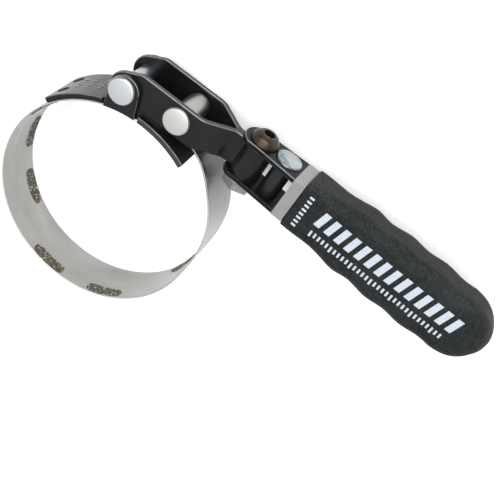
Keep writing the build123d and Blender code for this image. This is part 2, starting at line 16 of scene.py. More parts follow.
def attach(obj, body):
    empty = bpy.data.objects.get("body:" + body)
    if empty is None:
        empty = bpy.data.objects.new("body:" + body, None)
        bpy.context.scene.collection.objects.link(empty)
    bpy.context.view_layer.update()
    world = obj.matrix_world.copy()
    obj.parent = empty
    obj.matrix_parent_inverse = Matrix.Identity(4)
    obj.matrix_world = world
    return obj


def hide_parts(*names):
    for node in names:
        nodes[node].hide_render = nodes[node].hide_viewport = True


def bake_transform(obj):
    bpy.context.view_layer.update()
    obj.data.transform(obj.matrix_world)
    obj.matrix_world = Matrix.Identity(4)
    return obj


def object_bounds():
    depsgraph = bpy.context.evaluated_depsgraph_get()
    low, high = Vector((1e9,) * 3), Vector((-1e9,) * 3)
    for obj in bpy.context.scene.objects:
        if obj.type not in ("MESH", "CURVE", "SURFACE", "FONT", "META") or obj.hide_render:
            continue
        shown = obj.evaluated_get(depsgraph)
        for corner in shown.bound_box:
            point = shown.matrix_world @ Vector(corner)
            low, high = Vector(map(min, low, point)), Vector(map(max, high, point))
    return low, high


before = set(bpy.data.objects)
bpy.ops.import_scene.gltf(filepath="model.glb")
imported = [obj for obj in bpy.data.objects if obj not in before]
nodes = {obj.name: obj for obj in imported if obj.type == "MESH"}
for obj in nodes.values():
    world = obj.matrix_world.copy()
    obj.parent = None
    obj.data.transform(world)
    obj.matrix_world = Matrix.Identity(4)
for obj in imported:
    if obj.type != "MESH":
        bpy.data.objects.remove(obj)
cad_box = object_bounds()
MM = 0.001

# Strip and loop
BAND_R, BAND_T, BAND_HALF_W = 49.2, 0.8, 12.7  # inner radius, thickness, half width
BAND_MID_R = BAND_R + BAND_T / 2
LINK_START, LINK_STEP = 144.8, 34.6  # degrees: where the first link starts, and each one's span
LOOP_END = LINK_START + 6 * LINK_STEP
# Strip's end loop, round the roller
EYE_X, EYE_Y = 12.84, 61.45
EYE_MID_R = 5.35
EYE_HALF_W = 8.7
EYE_HEADING = 166.0  # strip's direction on reaching the end loop, degrees
# Swivel bolt and handle
BOLT_X, BOLT_Y = 46.5, 61.6
TILT = math.radians(2.7)


def polar(radius, degrees):
    return radius * math.cos(math.radians(degrees)), radius * math.sin(math.radians(degrees))


# ------------------------------------------------------------------- materials
class Shader:
    """Builds a node material round one Principled surface."""

    def __init__(self, name, metallic=0.0):
        self.material = bpy.data.materials.new(name)
        self.material.use_nodes = True
        self.tree = self.material.node_tree
        self.tree.nodes.clear()
        output = self.new("ShaderNodeOutputMaterial")
        self.surface = self.new("ShaderNodeBsdfPrincipled", Metallic=metallic)
        self.feed(output.inputs[0], self.surface.outputs[0])

    @cached_property
    def coords(self):
        return self.new("ShaderNodeTexCoord").outputs

    def feed(self, socket, value):
        """Link a socket, or set a plain value or an RGB colour."""
        if isinstance(value, bpy.types.NodeSocket):
            self.tree.links.new(value, socket)
        elif socket.type == "RGBA":
            socket.default_value = (*value, 1)
        else:
            socket.default_value = value

    def feed_named(self, node, inputs):
        for key, value in inputs.items():
            self.feed(node.inputs[key.replace("_", " ")], value)

    def new(self, kind, **inputs):
        node = self.tree.nodes.new(kind)
        self.feed_named(node, inputs)
        return node

    def finish(self, **inputs):
        """Set the surface's inputs and return the material."""
        self.feed_named(self.surface, inputs)
        return self.material

    def mapped(self, scale, vector=None, location=(0, 0, 0)):
        vector = vector or self.coords["Object"]
        node = self.new("ShaderNodeMapping", Scale=scale, Location=location, Vector=vector)
        return node.outputs[0]

    def noise(self, scale=1.0, detail=4, rough=0.6, vector=None, distortion=0.0):
        node = self.new("ShaderNodeTexNoise", Scale=scale, Detail=detail, Roughness=rough,
                        Distortion=distortion, Vector=vector or self.coords["Object"])
        return node.outputs["Fac"]

    def voronoi(self, scale, feature="F1", output="Distance"):
        node = self.new("ShaderNodeTexVoronoi", Scale=scale, Vector=self.coords["Object"])
        node.feature = feature
        return node.outputs[output]

    def split(self, kind, value):
        """Outputs of a separating node fed with one vector or colour."""
        node = self.new(kind)
        self.feed(node.inputs[0], value)
        return node.outputs

    def ramp(self, value, stops):
        """Grey ramp through (position, level) stops."""
        node = self.new("ShaderNodeValToRGB")
        elements = node.color_ramp.elements
        while len(elements) < len(stops):
            elements.new(0.5)
        for i, (position, level) in enumerate(stops):
            elements[i].position = position
            elements[i].color = (level, level, level, 1)
        self.feed(node.inputs[0], value)
        return node.outputs[0]

    def fade(self, value, start, end, before=0.0, after=1.0):
        return self.ramp(value, [(start, before), (end, after)])

    def mix(self, factor, base, over):
        """Colour going from base to over as the factor rises."""
        node = self.new("ShaderNodeMix")
        node.data_type = "RGBA"
        for index, value in ((0, factor), (6, base), (7, over)):
            self.feed(node.inputs[index], value)
        return node.outputs[2]

    def calc(self, operation, a, b=0.0, c=0.0, clamp=False):
        node = self.new("ShaderNodeMath")
        node.operation = operation
        node.use_clamp = clamp
        for socket, value in zip(node.inputs, (a, b, c)):
            self.feed(socket, value)
        return node.outputs[0]

    def vector_calc(self, operation, *vectors, output="Vector"):
        node = self.new("ShaderNodeVectorMath")
        node.operation = operation
        for socket, vector in zip(node.inputs, vectors):
            self.feed(socket, vector)
        return node.outputs[output]

    def scaled(self, value, by):
        return self.calc("MULTIPLY", value, by)

    def weighted(self, *terms, base=None):
        """Sum of (value, weight) terms on top of an optional base."""
        total = base
        for value, weight in terms:
            part = self.scaled(value, by=weight)
            total = part if total is None else self.calc("ADD", total, part)
        return total

    def bump(self, height, distance, strength, **normal):
        node = self.new("ShaderNodeBump", Strength=strength, Distance=distance,
                        Height=height, **normal)
        return node.outputs[0]

    def rounded_normal(self, radius):
        node = self.new("ShaderNodeBevel", Radius=radius)
        node.samples = 6
        return node.outputs[0]

    def edge_mask(self, rounded, start, end):
        """1 where the rounded normal leaves the true one, along edges."""
        true_normal = self.new("ShaderNodeNewGeometry").outputs["Normal"]
        dot = self.vector_calc("DOT_PRODUCT", rounded, true_normal, output="Value")
        return self.fade(self.calc("SUBTRACT", 1.0, dot), start, end)


def painted_outer_face_sheen(m):
    """Painted sheen mask: faces turned away from the Z axis, lighter where they catch the
    light, growing towards -X.
    """
    outward = m.vector_calc("NORMALIZE", m.mapped(scale=(1, 1, 0)))
    facing = m.vector_calc("DOT_PRODUCT", outward, m.coords["Normal"], output="Value")
    face = m.fade(facing, start=0.90, end=0.985)
    x = m.split("ShaderNodeSeparateXYZ", m.coords["Object"])["X"]
    far = m.fade(m.calc("MULTIPLY_ADD", x, b=-40.0), start=0.45, end=0.85)
    patches = m.fade(m.noise(scale=150), start=0.25, end=0.75, before=0.6)
    return m.calc("MULTIPLY", m.calc("MULTIPLY", face, far), patches)


def black_paint(name, rough, tone=1.0, wear=1.0, specular=0.26, bloom_and_sheen=0.0, rim=0.0, coat=0.30):
    """Satin black paint, lighter along edges: partly real wear, partly a painted highlight.

    bloom_and_sheen: painted sheen, a lighter grey on outward faces; rim: painted highlight,
    lighter metallic patches all over the rim faces.
    """
    m = Shader(name)
    rounded = m.rounded_normal(radius=0.00045)
    edge = m.edge_mask(rounded, start=0.07, end=0.20)
    dark, light = (tuple(channel * tone for channel in shade)
                   for shade in ((0.0035, 0.0037, 0.0040), (0.0070, 0.0074, 0.0080)))
    color = m.mix(m.fade(m.noise(scale=95), start=0.35, end=0.7), base=dark, over=light)
    dust = m.fade(m.noise(scale=2600, detail=2, rough=0.7), start=0.62, end=0.74)
    color = m.mix(m.scaled(dust, by=0.10), color, over=(0.12, 0.12, 0.115))
    if bloom_and_sheen:
        # Painted sheen: outward faces turn lighter grey, most towards -X.
        mask = m.scaled(painted_outer_face_sheen(m), by=bloom_and_sheen)
        color = m.mix(mask, color, over=(0.090, 0.090, 0.092))
    broken = m.fade(m.noise(scale=420, rough=0.65), start=0.30, end=0.62, before=0.25)
    worn = m.scaled(m.calc("MULTIPLY", edge, broken), by=0.55 * wear)
    # Painted highlight: lighter metallic patches over all of a rim face.
    if rim:
        patches = m.noise(scale=260, vector=m.mapped(scale=(1, 1, 1)))
        thin = m.fade(patches, start=0.22, end=0.60, before=0.35)
        worn = m.calc("ADD", worn, m.scaled(thin, by=rim), clamp=True)
    # Lighter steel grey: real wear along edges, plus the painted rim highlight.
    color = m.mix(worn, color, over=(0.24, 0.245, 0.25))
    scuff = m.noise(scale=60, detail=5, rough=0.7, vector=m.mapped(scale=(1, 6, 1)))
    scuff = m.fade(scuff, start=0.56, end=0.78)
    fine = m.noise(scale=900, detail=3)
    peel = m.weighted((m.noise(scale=1300, detail=2, rough=0.5), 0.7),
                      (m.noise(scale=300, detail=2, rough=0.5), 0.5))
    return m.finish(
        Base_Color=color,
        Roughness=m.weighted((fine, 0.10), (scuff, 0.14), base=rough),
        Metallic=m.scaled(worn, by=0.8),
        Specular_IOR_Level=specular,
        Coat_Weight=coat, Coat_Roughness=0.10, Coat_IOR=1.5,
        Normal=m.bump(peel, distance=0.00004, strength=0.5, Normal=rounded))


def band_steel(name):
    """Bright rolled strip: fine lengthwise grain and brighter slit edges."""
    m = Shader(name, metallic=1.0)
    attribute = m.new("ShaderNodeAttribute")
    attribute.attribute_name = "bandco"
    strip = attribute.outputs["Vector"]  # x along the strip, y across it, z through it
    grain = m.noise(detail=5, rough=0.62, vector=m.mapped((60, 5200, 400), strip))
    fine = m.noise(detail=3, vector=m.mapped((260, 12000, 400), strip))
    cloud = m.noise(detail=3, rough=0.5, vector=m.mapped((26, 60, 10), strip))
    smear = m.noise(rough=0.62, vector=m.mapped((70, 260, 20), strip, location=(3, 1, 0)))
    across = m.calc("ABSOLUTE", m.split("ShaderNodeSeparateXYZ", strip)["Y"])
    slit_edge = m.fade(m.scaled(across, by=50.0), start=0.6205, end=0.6300)
    color = m.mix(m.fade(cloud, start=0.3, end=0.72),
                  base=(0.255, 0.252, 0.243), over=(0.350, 0.347, 0.337))
    color = m.mix(m.fade(grain, start=0.3, end=0.7, before=0.16, after=0.0), color,
                  over=(0.19, 0.187, 0.180))
    color = m.mix(m.scaled(m.fade(smear, start=0.55, end=0.80), by=0.25), color,
                  over=(0.24, 0.237, 0.222))
    color = m.mix(m.scaled(slit_edge, by=0.80), color, over=(0.66, 0.655, 0.64))
    dull = m.fade(smear, start=0.5, end=0.8)
    return m.finish(
        Base_Color=color,
        Roughness=m.weighted((cloud, 0.10), (dull, 0.12), base=0.27),
        Normal=m.bump(m.weighted((grain, 0.6), (fine, 0.4)), distance=0.000012, strength=0.35))


def zinc(name, tint, dark, rough, streak=(1, 1, 1), worn=0.4, axis=None, bloom_start=0.40,
         scale=240):
    """Bright zinc plate with cloudy blooms; with an axis, faces turned off it get painted
    shade, a darker grey.
    """
    m = Shader(name, metallic=1.0)
    rounded = m.rounded_normal(radius=0.0003)
    edge = m.edge_mask(rounded, start=0.03, end=0.25)
    bloom_and_sheen = m.noise(scale, rough=0.62, vector=m.mapped(streak), distortion=0.6)
    fine = m.noise(scale=1500, detail=3, rough=0.65)
    lines = m.noise(detail=3, vector=m.mapped(scale=(2400, 300, 900)))
    color = m.mix(m.fade(bloom_and_sheen, start=bloom_start, end=bloom_start + 0.30), tint, dark)
    color = m.mix(m.fade(fine, start=0.55, end=0.78, after=0.28), color,
                  over=(0.34, 0.35, 0.36))
    color = m.mix(m.scaled(edge, by=worn), color, over=(0.30, 0.31, 0.33))
    if axis:
        # Painted shade: faces turned off the axis, such as a head's rim, go darker grey.
        along = m.calc("ABSOLUTE", m.split("ShaderNodeSeparateXYZ", m.coords["Normal"])[axis])
        painted_rim_shade = m.fade(along, start=0.80, end=0.95, before=1.0, after=0.0)
        color = m.mix(m.scaled(painted_rim_shade, by=0.85), color, over=(0.13, 0.135, 0.14))
    dull = m.fade(bloom_and_sheen, start=0.35, end=0.75)
    return m.finish(
        Base_Color=color,
        Roughness=m.weighted((dull, 0.16), (lines, 0.06), base=rough),
        Normal=m.bump(m.calc("ADD", fine, lines), distance=0.000010, strength=0.5,
                      Normal=rounded))


def turned(name, color_a, color_b, rough):
    """Turned steel, ringed along Z."""
    m = Shader(name, metallic=1.0)
    rounded = m.rounded_normal(radius=0.0002)
    edge = m.edge_mask(rounded, start=0.04, end=0.3)
    rings = m.noise(vector=m.mapped(scale=(60, 60, 5200)))
    cloud = m.noise(scale=180, detail=3, rough=0.55)
    color = m.mix(m.fade(rings, start=0.32, end=0.68), color_a, color_b)
    color = m.mix(m.fade(cloud, start=0.52, end=0.78, after=0.35), color,
                  over=tuple(channel * 0.5 for channel in color_a))
    color = m.mix(m.scaled(edge, by=0.3), color, over=(0.7, 0.7, 0.68))
    return m.finish(
        Base_Color=color,
        Roughness=m.weighted((cloud, 0.16), base=rough),
        Normal=m.bump(rings, distance=0.00002, strength=0.4, Normal=rounded))


def bolt_oxide(name):
    """Dark brown oxide, brighter along edges."""
    m = Shader(name, metallic=0.85)
    rounded = m.rounded_normal(radius=0.0003)
    edge = m.edge_mask(rounded, start=0.03, end=0.3)
    fine = m.noise(scale=1800, detail=3)
    color = m.mix(m.fade(m.noise(scale=330), start=0.3, end=0.7),
                  base=(0.024, 0.018, 0.0138), over=(0.062, 0.0465, 0.0355))
    color = m.mix(m.scaled(edge, by=0.4), color, over=(0.20, 0.155, 0.115))
    return m.finish(
        Base_Color=color,
        Roughness=m.weighted((fine, 0.14), base=0.26),
        Normal=m.bump(fine, distance=0.00002, strength=0.4, Normal=rounded))


def vinyl(name):
    """Dipped vinyl: dark blue-grey with a fine pebble grain."""
    m = Shader(name)
    cloud = m.noise(scale=55, distortion=0.4)
    middle = m.noise(scale=260, rough=0.65)
    grain = m.noise(scale=2300, detail=3, rough=0.7)
    pebble = m.voronoi(scale=1900, feature="SMOOTH_F1")
    speck = m.noise(scale=1050, detail=3, rough=0.75)
    color = m.mix(m.fade(cloud, start=0.34, end=0.70),
                  base=(0.0048, 0.0058, 0.0062), over=(0.0115, 0.0133, 0.0138))
    color = m.mix(m.fade(middle, start=0.50, end=0.80, after=0.5), color,
                  over=(0.032, 0.036, 0.037))
    color = m.mix(m.fade(speck, start=0.50, end=0.70, after=0.55), color,
                  over=(0.040, 0.045, 0.046))
    color = m.mix(m.fade(grain, start=0.54, end=0.72, after=0.50), color,
                  over=(0.060, 0.066, 0.067))
    return m.finish(
        Base_Color=color,
        Roughness=m.weighted((middle, 0.16), base=0.50),
        Specular_IOR_Level=0.13, Sheen_Weight=0.01, Sheen_Roughness=0.45,
        Normal=m.bump(m.weighted((grain, 0.6), (pebble, 0.8)), distance=0.00009, strength=0.6))


def print_ink(name):
    """Pale print, a little thin where the vinyl's grain shows through."""
    m = Shader(name)
    grain = m.noise(scale=2300, detail=3, rough=0.7)
    wear = m.noise(scale=700, rough=0.65)
    color = m.mix(m.fade(grain, start=0.40, end=0.72),
                  base=(0.47, 0.52, 0.58), over=(0.32, 0.355, 0.395))
    color = m.mix(m.fade(wear, start=0.60, end=0.80, after=0.7), color,
                  over=(0.28, 0.30, 0.32))
    return m.finish(
        Base_Color=color,
        Roughness=m.weighted((wear, 0.2), base=0.45),
        Normal=m.bump(grain, distance=0.00004, strength=0.5))


def collar_grey(name):
    """Smooth light grey moulding."""
    m = Shader(name)
    rounded = m.rounded_normal(radius=0.0004)
    edge = m.edge_mask(rounded, start=0.02, end=0.2)
    fine = m.noise(scale=1600, detail=3)
    color = m.mix(m.fade(m.noise(scale=120, detail=3, rough=0.55), start=0.3, end=0.7),
                  base=(0.180, 0.186, 0.177), over=(0.220, 0.227, 0.216))
    color = m.mix(m.fade(fine, start=0.60, end=0.78, after=0.25), color,
                  over=(0.16, 0.165, 0.155))
    color = m.mix(m.scaled(edge, by=0.30), color, over=(0.42, 0.43, 0.415))
    return m.finish(
        Base_Color=color,
        Roughness=m.weighted((fine, 0.12), base=0.38),
        Normal=m.bump(fine, distance=0.00002, strength=0.4, Normal=rounded))


def bronze(name):
    """Porous bearing bronze."""
    m = Shader(name, metallic=1.0)
    pores = m.voronoi(scale=2600)
    cloud = m.noise(scale=300)
    color = m.mix(m.fade(cloud, start=0.3, end=0.7),
                  base=(0.20, 0.135, 0.065), over=(0.29, 0.205, 0.105))
    color = m.mix(m.fade(pores, start=0.0, end=0.25, before=0.6, after=0.0), color,
                  over=(0.14, 0.09, 0.05))
    return m.finish(
        Base_Color=color,
        Roughness=m.weighted((cloud, 0.14), base=0.32),
        Normal=m.bump(pores, distance=0.00002, strength=0.4,
                      Normal=m.rounded_normal(radius=0.0002)))


def grit_bead(name):
    """Olive-brown grit with dark pits and bright metallic specks."""
    m = Shader(name)
    cell = m.split("ShaderNodeSeparateColor", m.voronoi(scale=1500, output="Color"))
    lumps = m.noise(scale=900, rough=0.7)
    pit = m.voronoi(scale=1500)
    color = m.mix(m.fade(lumps, start=0.32, end=0.70),
                  base=(0.030, 0.026, 0.015), over=(0.100, 0.088, 0.056))
    pale_cells = m.ramp(cell[0], stops=[(0.0, 0.0), (0.55, 0.0), (1.0, 0.85)])
    color = m.mix(pale_cells, color, over=(0.170, 0.157, 0.105))
    color = m.mix(m.fade(cell[1], start=0.82, end=0.92), color, over=(0.55, 0.53, 0.46))
    color = m.mix(m.fade(pit, start=0.45, end=0.85, after=0.85), color,
                  over=(0.020, 0.016, 0.011))
    return m.finish(
        Base_Color=color,
        Metallic=m.fade(cell[1], start=0.78, end=0.90, before=0.1, after=0.9),
        Roughness=m.weighted((lumps, 0.3), base=0.34),
        Normal=m.bump(pit, distance=0.00025, strength=0.8))


def pale_floor(name):
    """Matt white, faintly glowing."""
    m = Shader(name)
    color = m.mix(m.noise(scale=3, detail=2, rough=0.5),
                  base=(0.90, 0.90, 0.90), over=(0.92, 0.92, 0.92))
    return m.finish(Base_Color=color, Roughness=0.65, Specular_IOR_Level=0.2,
                    Emission_Color=(1.0, 1.0, 1.0), Emission_Strength=0.18)


BAND_STEEL = band_steel("strip_steel")
NUT_ZINC = zinc("zinc_nut", tint=(0.40, 0.41, 0.42), dark=(0.24, 0.27, 0.30), rough=0.30)
BRONZE = bronze("bearing_bronze")
CUT_EDGE = black_paint("paint_cut_edge", tone=5.5, rough=0.42, wear=0.8, specular=0.20)

CAD_MATERIALS = {
    "yoke": black_paint("paint_yoke", rough=0.30, specular=0.16),
    # The saddle's outward faces carry a painted sheen.
    "saddle": black_paint("paint_saddle", tone=1.1, rough=0.34, wear=0.8, specular=0.15,
                          bloom_and_sheen=0.13),
    "handle_frame": black_paint("paint_frame", rough=0.36, wear=0.9, specular=0.09, coat=0.10),
    "fork_spacer": black_paint("paint_spacer", rough=0.4, wear=0.5),
    "handle_collar": collar_grey("collar_grey_moulding"),
    "swivel_bolt": bolt_oxide("oxide_bolt"),
    "swivel_nut": NUT_ZINC,
    "nut_washer": NUT_ZINC,
    "friction_washers": BRONZE,
    "swivel_bushing": BRONZE,
    "fork_rivet": zinc("zinc_fork", tint=(0.36, 0.39, 0.405), dark=(0.09, 0.13, 0.16),
                       rough=0.20, streak=(1.0, 0.4, 1.6), worn=0.3, axis="Y",
                       bloom_start=0.42, scale=110),
    "band_rivet": zinc("zinc_rivet_warm", tint=(0.655, 0.66, 0.63), dark=(0.57, 0.57, 0.545),
                       rough=0.34, axis="Z", scale=130),
    "saddle_rivet": zinc("zinc_rivet", tint=(0.70, 0.73, 0.75), dark=(0.60, 0.645, 0.68),
                         rough=0.26, axis="Z", scale=130),
    "rivet_spacer": turned("zinc_tube", (0.46, 0.50, 0.53), (0.33, 0.37, 0.41), rough=0.22),
    "ear_washers": NUT_ZINC,
    "band_roller": turned("steel_roller", (0.135, 0.131, 0.121), (0.080, 0.078, 0.072),
                          rough=0.24),
}
# Paint for the rounded rims of the pressed plates, with a painted highlight: lighter metallic
# patches on the rims that face the light
RIM_HIGHLIGHT_MATERIALS = {
    "yoke": black_paint("paint_yoke_rim_highlight", rough=0.26, specular=0.40, rim=0.58),
    "saddle": black_paint("paint_saddle_rim_highlight", tone=1.2, rough=0.28, wear=0.8, specular=0.40,
                          rim=0.48),
    "handle_frame": black_paint("paint_frame_rim_highlight", tone=1.2, rough=0.28, wear=0.9,
                                specular=0.34, rim=0.46),
}
DOMED = ("saddle_rivet", "band_rivet", "fork_rivet")

# ------------------------------------------------------------------ CAD pieces
RIM_SLANT = 0.22, 0.95  # range of a rim face's normal component across its sheet
YOKE_BEND_X = 15.0  # the yoke's sheet lies across Z below this x, across Y beyond it
# Yoke faces turned further towards -Y, away from the light, get no painted rim highlight.
YOKE_INNER_NORMAL = -0.15  # yoke faces turned further towards -Y have no rim
SADDLE_RIM_Z = 12.6  # the saddle's rims lie beyond this |z|
SADDLE_OUTWARD = 0.1  # least outward part of a saddle rim's normal
FRAME_RIM_END = 20.3  # distance from the bolt where the handle frame's rim stops
CUT_MIN_X, CUT_MAX_R, CUT_NORMAL_Z = -2.6, 53.0, 0.9  # cut edge at the saddle's +X end


def slanted(component):
    return RIM_SLANT[0] < abs(component) < RIM_SLANT[1]


def on_lit_rim(name, center, normal):
    """Whether a face lies on a rounded rim of a pressed plate that takes the painted highlight;
    rims turned from the light are left out.
    """
    if name == "yoke":
        if normal.y < YOKE_INNER_NORMAL:
            return False
        return slanted(normal.z if center.x < YOKE_BEND_X else normal.y)
    if name == "saddle":
        outward = normal.x * center.x + normal.y * center.y
        if (abs(center.z) < SADDLE_RIM_Z
                or outward < SADDLE_OUTWARD * math.hypot(center.x, center.y)):
            return False
        return slanted(normal.z)
    along = (center.x - BOLT_X) * math.cos(TILT) + center.z * math.sin(TILT)
    return along < FRAME_RIM_END and slanted(normal.y)


def face_slot(name, face):
    """Material slot of a plate's face: 0 main, 1 rim with a painted highlight, 2 cut edge."""
    center, normal = face.center / MM, face.normal
    if (name == "saddle" and center.x > CUT_MIN_X and abs(normal.z) > CUT_NORMAL_Z
            and math.hypot(center.x, center.y) < CUT_MAX_R):
        return 2
    return int(on_lit_rim(name, center, normal))


def dress_cad_piece(name, material):
    piece = nodes[name]
    mesh = piece.data
    mesh.materials.clear()
    mesh.materials.append(material)
    slots = [0] * len(mesh.polygons)
    if name in RIM_HIGHLIGHT_MATERIALS:
        mesh.materials.append(RIM_HIGHLIGHT_MATERIALS[name])
        slots = [face_slot(name, face) for face in mesh.polygons]
    if name == "saddle":
        mesh.materials.append(CUT_EDGE)
    mesh.polygons.foreach_set("material_index", slots)
    mesh.polygons.foreach_set("use_smooth", [True] * len(mesh.polygons))
    weld = piece.modifiers.new("weld", "WELD")
    weld.merge_threshold = 1e-6
    split = piece.modifiers.new("split", "EDGE_SPLIT")
    split.split_angle = math.radians(50 if name in DOMED else 28)
    if name not in DOMED:
        even = piece.modifiers.new("even", "WEIGHTED_NORMAL")
        even.mode = "FACE_AREA"
        even.weight = 100
        even.keep_sharp = True
    mesh.update()


for name, material in CAD_MATERIALS.items():
    dress_cad_piece(name, material)


# ---------------------------------------------------------------- mesh helpers
def make_object(name, verts, faces, material, sharp, strip_coords=None):
    """Smooth mesh object from millimetre vertices, sharp above the given angle in degrees."""
    mesh = bpy.data.meshes.new(name)
    mesh.from_pydata([tuple(c * MM for c in vert) for vert in verts], [], faces)
    mesh.validate()
    bm = bmesh.new()
    bm.from_mesh(mesh)
    bmesh.ops.recalc_face_normals(bm, faces=bm.faces)
    bm.to_mesh(mesh)
    bm.free()
    mesh.polygons.foreach_set("use_smooth", [True] * len(mesh.polygons))
    mesh.set_sharp_from_angle(angle=math.radians(sharp))
    if strip_coords is not None:
        attribute = mesh.attributes.new("bandco", "FLOAT_VECTOR", "POINT")
        attribute.data.foreach_set("vector", [c * MM for row in strip_coords for c in row])
    mesh.materials.append(material)
    mesh.update()
    made = bpy.data.objects.new(name, mesh)
    bpy.context.scene.collection.objects.link(made)
    return made


def side_quads(rings, size, first=0):
    """Quads between successive closed rings of vertices."""
    quads = []
    for i in range(rings - 1):
        ring = first + i * size
        for j in range(size):
            k = (j + 1) % size
            quads.append((ring + j, ring + k, ring + size + k, ring + size + j))
    return quads


def end_caps(rings, size, first=0):
    last = first + (rings - 1) * size
    return [tuple(reversed(range(first, first + size))), tuple(range(last, last + size))]


def plate_faces(first, nu, nv):
    """Faces of a closed thin plate whose grid vertices come in (top, low) pairs."""
    def top(i, j):
        return first + 2 * (i * (nv + 1) + j)

    def low(i, j):
        return top(i, j) + 1

    faces = []
    for i in range(nu):
        for j in range(nv):
            faces.append((top(i, j), top(i + 1, j), top(i + 1, j + 1), top(i, j + 1)))
            faces.append((low(i, j), low(i, j + 1), low(i + 1, j + 1), low(i + 1, j)))
    for i in range(nu):
        faces.append((top(i, 0), low(i, 0), low(i + 1, 0), top(i + 1, 0)))
        faces.append((top(i, nv), top(i + 1, nv), low(i + 1, nv), low(i, nv)))
    for j in range(nv):
        faces.append((top(0, j), top(0, j + 1), low(0, j + 1), low(0, j)))
        faces.append((top(nu, j), low(nu, j), low(nu, j + 1), top(nu, j + 1)))
    return faces


def rounded_rect(half_w, half_h, radius, arc_steps, long_steps, short_steps):
    """Counter-clockwise outline; long_steps divide the sides along the width."""
    flat_w, flat_h = half_w - radius, half_h - radius
    points = []
    for sx, sy, start in ((1, 1, 0), (-1, 1, 90), (-1, -1, 180), (1, -1, 270)):
        for i in range(arc_steps + 1):
            dx, dy = polar(radius, start + 90 * i / arc_steps)
            points.append((sx * flat_w + dx, sy * flat_h + dy))
        if sx == sy:
            for i in range(1, long_steps):
                points.append((sy * flat_w * (1 - 2 * i / long_steps), sy * half_h))
        else:
            for i in range(1, short_steps):
                points.append((sx * half_w, -sx * flat_h * (1 - 2 * i / short_steps)))
    return points


def hermite(u):
    """Cubic weights of the start, start tangent, end and end tangent."""
    return 2 * u**3 - 3 * u**2 + 1, u**3 - 2 * u**2 + u, -2 * u**3 + 3 * u**2, u**3 - u**2


def hermite_slope(u):
    return 6 * u**2 - 6 * u, 3 * u**2 - 4 * u + 1, -6 * u**2 + 6 * u, 3 * u**2 - 2 * u


def curve_point(start, start_tangent, end, end_tangent, u):
    """Point and unit normal, to the right of travel, at share u of a cubic curve."""
    controls = (start, start_tangent, end, end_tangent)
    x, y = (sum(w * c[axis] for w, c in zip(hermite(u), controls)) for axis in (0, 1))
    dx, dy = (sum(w * c[axis] for w, c in zip(hermite_slope(u), controls)) for axis in (0, 1))
    size = math.hypot(dx, dy)
    return x, y, dy / size, -dx / size


# ------------------------------------------------------------ the strip's path
# A place on the path is an angle in degrees up to LOOP_END, and beyond it LOOP_END plus the
# number of tail runs passed. A row is (x, y, normal x, normal y, half width).
eye_start = polar(EYE_MID_R, EYE_HEADING + 90)
# Ends of the four tail runs: ((x, y), heading in degrees)
TAIL_KNOTS = [
    (polar(BAND_MID_R, LOOP_END), LOOP_END - 270.0),
    ((50.4, 14.5), 95.0),
    ((46.2, 31.0), 116.5),
    ((34.8, 45.9), 141.0),
    ((EYE_X + eye_start[0], EYE_Y + eye_start[1]), EYE_HEADING),
]
NECK_HALF_W = 10.75  # where the third tail run meets the fourth
TAPER_START = 0.45  # share of the third run where the strip starts to narrow
TAPER_END = 0.34  # share of the fourth run where it reaches the end loop's width
ROW_STEP_LOOP, ROW_STEP_TAIL = 0.55, 0.5


def half_width(run, u):
    """Half width of the strip at share u of a tail run, 0 to 3."""
    if run < 2:
        return BAND_HALF_W
    if run == 2:
        t = max(0.0, (u - TAPER_START) / (1 - TAPER_START))
        return BAND_HALF_W - (BAND_HALF_W - NECK_HALF_W) * (t * t * 0.35 + t * 0.65)
    t = min(1.0, u / TAPER_END)
    return NECK_HALF_W - (NECK_HALF_W - EYE_HALF_W) * (t * 1.35 - 0.35 * t * t)


def tail_point(run, u):
    (start, start_heading), (end, end_heading) = TAIL_KNOTS[run:run + 2]
    length = math.dist(start, end)
    return curve_point(start, polar(length, start_heading), end, polar(length, end_heading), u)


def path_row(place):
    if place <= LOOP_END:
        return (*polar(BAND_MID_R, place), *polar(1, place), BAND_HALF_W)
    run = min(3, int(place - LOOP_END))
    u = place - LOOP_END - run
    return (*tail_point(run, u), half_width(run, u))


def path_rows(begin, finish):
    """Rows about half a millimetre apart between two places."""
    joints = [LOOP_END + i for i in range(4) if begin < LOOP_END + i < finish]
    stops = [begin, *joints, finish]
    rows = []
    for a, b in zip(stops, stops[1:]):
        if b <= LOOP_END:
            arc = math.radians(b - a) * BAND_MID_R
            steps = max(4, math.ceil(arc / ROW_STEP_LOOP))
        else:
            chord = math.dist(path_row(a)[:2], path_row(b)[:2])
            steps = max(6, math.ceil(chord / ROW_STEP_TAIL))
        for i in range(1 if rows else 0, steps + 1):
            place = a + (b - a) * i / steps
            if i == steps and b > LOOP_END:
                place = b - 1e-9  # stay on this run rather than the next
            rows.append(path_row(place))
    return rows


def sweep_strip(name, rows, run_start=0.0):
    """Strip along the rows; returns it and its running length at the end."""
    verts, coords = [], []
    run, previous = run_start, rows[0][:2]
    for x, y, nx, ny, half_w in rows:
        run += math.dist((x, y), previous)
        previous = (x, y)
        section = rounded_rect(half_w, BAND_T / 2, radius=0.22, arc_steps=3, long_steps=14,
                               short_steps=1)
        for z, through in section:
            verts.append((x + nx * through, y + ny * through, z))
            coords.append((run, z, through))
    size = len(section)
    faces = [(a, d, c, b) for a, b, c, d in side_quads(len(rows), size)]
    faces += end_caps(len(rows), size)
    return make_object(name, verts, faces, BAND_STEEL, 40, coords), run


# ------------------------------------------------------------- strip in pieces
STRIP_START = 88.0  # degrees, under the saddle
FIRST_CUT = 141.0
chain = ["saddle_body", *(f"link_{i}" for i in range(1, 7)),
         *(f"tail_{i}" for i in range(1, 4)), "eye"]
# The strip is cut halfway along every link and tail run
cuts = [FIRST_CUT, *(LINK_START + LINK_STEP * (i + 0.5) for i in range(6)),
        *(LOOP_END + (i + 0.5) for i in range(4))]

